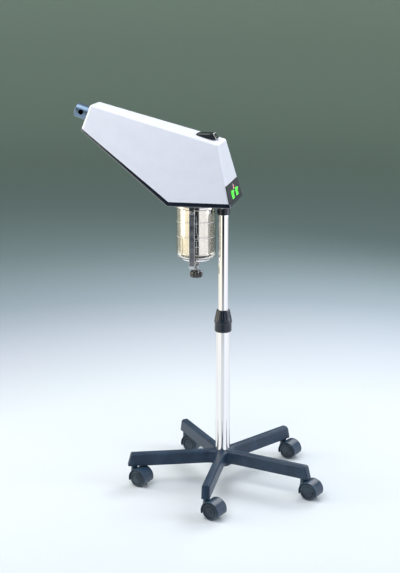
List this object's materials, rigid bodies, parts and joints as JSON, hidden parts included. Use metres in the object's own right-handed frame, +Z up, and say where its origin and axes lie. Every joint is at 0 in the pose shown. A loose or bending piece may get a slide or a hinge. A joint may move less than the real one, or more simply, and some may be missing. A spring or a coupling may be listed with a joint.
{
  "type": "facial steamer",
  "caption": "Facial steamer: sloping white head with rotating nozzle and glass boiler jar, on a telescopic chromed column with five-legged castor base.",
  "frame": {"origin": "on the floor, on the column's axis", "axes": "+Z up the column; -X from the column towards the head's nose; +Y to the head's left side seen from its back"},
  "size_m": [0.7508, 0.543, 1.1197],
  "materials": {
    "cover_white": "gloss white lacquered shell",
    "tray_dark": "blue-black lacquered tray",
    "panel_black": "black switch panel",
    "chrome": "polished chrome plate",
    "steel": "bright steel",
    "polished_steel": "polished stainless steel",
    "nylon_base": "blue-black moulded nylon",
    "nylon_black": "black moulded nylon",
    "nylon_white": "natural nylon",
    "knob_black": "black phenolic",
    "glass": "clear borosilicate glass",
    "rubber": "silicone rubber",
    "rocker_green": "lit translucent green",
    "lamp_red": "lit translucent red",
    "circuit_board": "glass-fibre laminate",
    "loom_grey": "PVC sleeved wires",
    "nozzle_metal": "satin anodised",
    "switch_case": "black moulded",
    "iron": "varnished laminations"
  },
  "bodies": {
    "stand": {"star_base": "nylon_base", "castor_stems": "steel", "lower_tube": "chrome", "column_bush": "nylon_white", "lock_collar": "nylon_black", "lock_collet": "nylon_white"},
    "lock_nut": {"lock_nut": "nylon_black"},
    "mast": {"upper_tube": "chrome", "mast_foot_bush": "nylon_white"},
    "head": {"head_socket": "nylon_black", "tray": "tray_dark", "cover": "cover_white", "cover_screws": "steel", "boiler_lid": "polished_steel", "jar_gasket": "rubber", "heater_guard": "polished_steel", "heater_element": "steel", "level_probe": "steel", "steam_duct": "nozzle_metal", "ozone_lamp": "glass", "nozzle_seat": "knob_black", "filler_neck": "nylon_black", "switch_panel": "panel_black", "pilot_lamp": "lamp_red", "switch_cases": "switch_case", "chassis": "steel", "lamp_ballast": "iron", "control_board": "circuit_board", "wiring_loom": "loom_grey", "mains_inlet": "switch_case", "stirrup": "polished_steel", "stirrup_screws": "steel"},
    "nozzle": {"nozzle_head": "nozzle_metal"},
    "filler_cap": {"filler_cap": "knob_black"},
    "switch_left": {"switch_left": "rocker_green"},
    "switch_right": {"switch_right": "rocker_green"},
    "jar_carrier": {"boiler_jar": "glass", "pressure_cup": "polished_steel"},
    "clamp_knob": {"clamp_knob": "knob_black", "clamp_screw": "steel"},
    "castor_1": {"castor_1_hood": "nylon_base", "castor_1_axle": "steel"},
    "castor_1_wheel_left": {"castor_1_wheel_left": "nylon_base"},
    "castor_1_wheel_right": {"castor_1_wheel_right": "nylon_base"},
    "castor_2": {"castor_2_hood": "nylon_base", "castor_2_axle": "steel"},
    "castor_2_wheel_left": {"castor_2_wheel_left": "nylon_base"},
    "castor_2_wheel_right": {"castor_2_wheel_right": "nylon_base"},
    "castor_3": {"castor_3_hood": "nylon_base", "castor_3_axle": "steel"},
    "castor_3_wheel_left": {"castor_3_wheel_left": "nylon_base"},
    "castor_3_wheel_right": {"castor_3_wheel_right": "nylon_base"},
    "castor_4": {"castor_4_hood": "nylon_base", "castor_4_axle": "steel"},
    "castor_4_wheel_left": {"castor_4_wheel_left": "nylon_base"},
    "castor_4_wheel_right": {"castor_4_wheel_right": "nylon_base"},
    "castor_5": {"castor_5_hood": "nylon_base", "castor_5_axle": "steel"},
    "castor_5_wheel_left": {"castor_5_wheel_left": "nylon_base"},
    "castor_5_wheel_right": {"castor_5_wheel_right": "nylon_base"}
  },
  "joints": [
    {"name": "lock_turn", "type": "hinge", "parent": "stand", "child": "lock_nut", "pos_m": [0, 0, 0.5], "axis": [0, 0, 1], "range_deg": [0, 75]},
    {"name": "mast_height", "type": "slide", "parent": "stand", "child": "mast", "axis": [0, 0, 1], "range_m": [-0.14, 0.2]},
    {"name": "head_turn", "type": "hinge", "parent": "mast", "child": "head", "pos_m": [0, 0, 0.85], "axis": [0, 0, 1], "range_deg": [-170, 170]},
    {"name": "nozzle_turn", "type": "hinge", "parent": "head", "child": "nozzle", "pos_m": [-0.3925, 0, 1.086], "axis": [-0.9473, 0, 0.3204], "range_deg": [-90, 90]},
    {"name": "cap_lift", "type": "slide", "parent": "head", "child": "filler_cap", "axis": [0, 0, 1], "range_m": [0, 0.05]},
    {"name": "jar_drop", "type": "slide", "parent": "head", "child": "jar_carrier", "axis": [0, 0, 1], "range_m": [-0.009, 0]},
    {"name": "knob_turn", "type": "hinge", "parent": "jar_carrier", "child": "clamp_knob", "pos_m": [-0.08, 0, 0.63], "axis": [0, 0, 1], "range_deg": [-1080, 0]},
    {"name": "switch_left_rock", "type": "hinge", "parent": "head", "child": "switch_left", "pos_m": [0.02504, -0.032, 0.86976], "axis": [0, 1, 0], "range_deg": [-14, 0]},
    {"name": "switch_right_rock", "type": "hinge", "parent": "head", "child": "switch_right", "pos_m": [0.02504, 0.032, 0.86976], "axis": [0, 1, 0], "range_deg": [-14, 0]},
    {"name": "castor_1_swivel", "type": "hinge", "parent": "stand", "child": "castor_1", "pos_m": [-0.25021, -0.08421, 0.05], "axis": [0, 0, 1], "continuous": true},
    {"name": "castor_1_wheel_left_spin", "type": "hinge", "parent": "castor_1", "child": "castor_1_wheel_left", "pos_m": [-0.22781, -0.09281, 0.025], "axis": [0.3584, 0.9336, 0], "continuous": true},
    {"name": "castor_1_wheel_right_spin", "type": "hinge", "parent": "castor_1", "child": "castor_1_wheel_right", "pos_m": [-0.22781, -0.09281, 0.025], "axis": [0.3584, 0.9336, 0], "continuous": true},
    {"name": "castor_2_swivel", "type": "hinge", "parent": "stand", "child": "castor_2", "pos_m": [0.00277, -0.26399, 0.05], "axis": [0, 0, 1], "continuous": true},
    {"name": "castor_2_wheel_left_spin", "type": "hinge", "parent": "castor_2", "child": "castor_2_wheel_left", "pos_m": [0.02517, -0.27259, 0.025], "axis": [0.3584, 0.9336, 0], "continuous": true},
    {"name": "castor_2_wheel_right_spin", "type": "hinge", "parent": "castor_2", "child": "castor_2_wheel_right", "pos_m": [0.02517, -0.27259, 0.025], "axis": [0.3584, 0.9336, 0], "continuous": true},
    {"name": "castor_3_swivel", "type": "hinge", "parent": "stand", "child": "castor_3", "pos_m": [0.25192, -0.07895, 0.05], "axis": [0, 0, 1], "continuous": true},
    {"name": "castor_3_wheel_left_spin", "type": "hinge", "parent": "castor_3", "child": "castor_3_wheel_left", "pos_m": [0.27432, -0.08755, 0.025], "axis": [0.3584, 0.9336, 0], "continuous": true},
    {"name": "castor_3_wheel_right_spin", "type": "hinge", "parent": "castor_3", "child": "castor_3_wheel_right", "pos_m": [0.27432, -0.08755, 0.025], "axis": [0.3584, 0.9336, 0], "continuous": true},
    {"name": "castor_4_swivel", "type": "hinge", "parent": "stand", "child": "castor_4", "pos_m": [0.15293, 0.21519, 0.05], "axis": [0, 0, 1], "continuous": true},
    {"name": "castor_4_wheel_left_spin", "type": "hinge", "parent": "castor_4", "child": "castor_4_wheel_left", "pos_m": [0.17534, 0.20659, 0.025], "axis": [0.3584, 0.9336, 0], "continuous": true},
    {"name": "castor_4_wheel_right_spin", "type": "hinge", "parent": "castor_4", "child": "castor_4_wheel_right", "pos_m": [0.17534, 0.20659, 0.025], "axis": [0.3584, 0.9336, 0], "continuous": true},
    {"name": "castor_5_swivel", "type": "hinge", "parent": "stand", "child": "castor_5", "pos_m": [-0.1574, 0.21194, 0.05], "axis": [0, 0, 1], "continuous": true},
    {"name": "castor_5_wheel_left_spin", "type": "hinge", "parent": "castor_5", "child": "castor_5_wheel_left", "pos_m": [-0.135, 0.20334, 0.025], "axis": [0.3584, 0.9336, 0], "continuous": true},
    {"name": "castor_5_wheel_right_spin", "type": "hinge", "parent": "castor_5", "child": "castor_5_wheel_right", "pos_m": [-0.135, 0.20334, 0.025], "axis": [0.3584, 0.9336, 0], "continuous": true}
  ],
  "couplings": [
    {"joint": "knob_turn", "follows": "jar_drop", "rad_per_m": 2094.4}
  ]
}
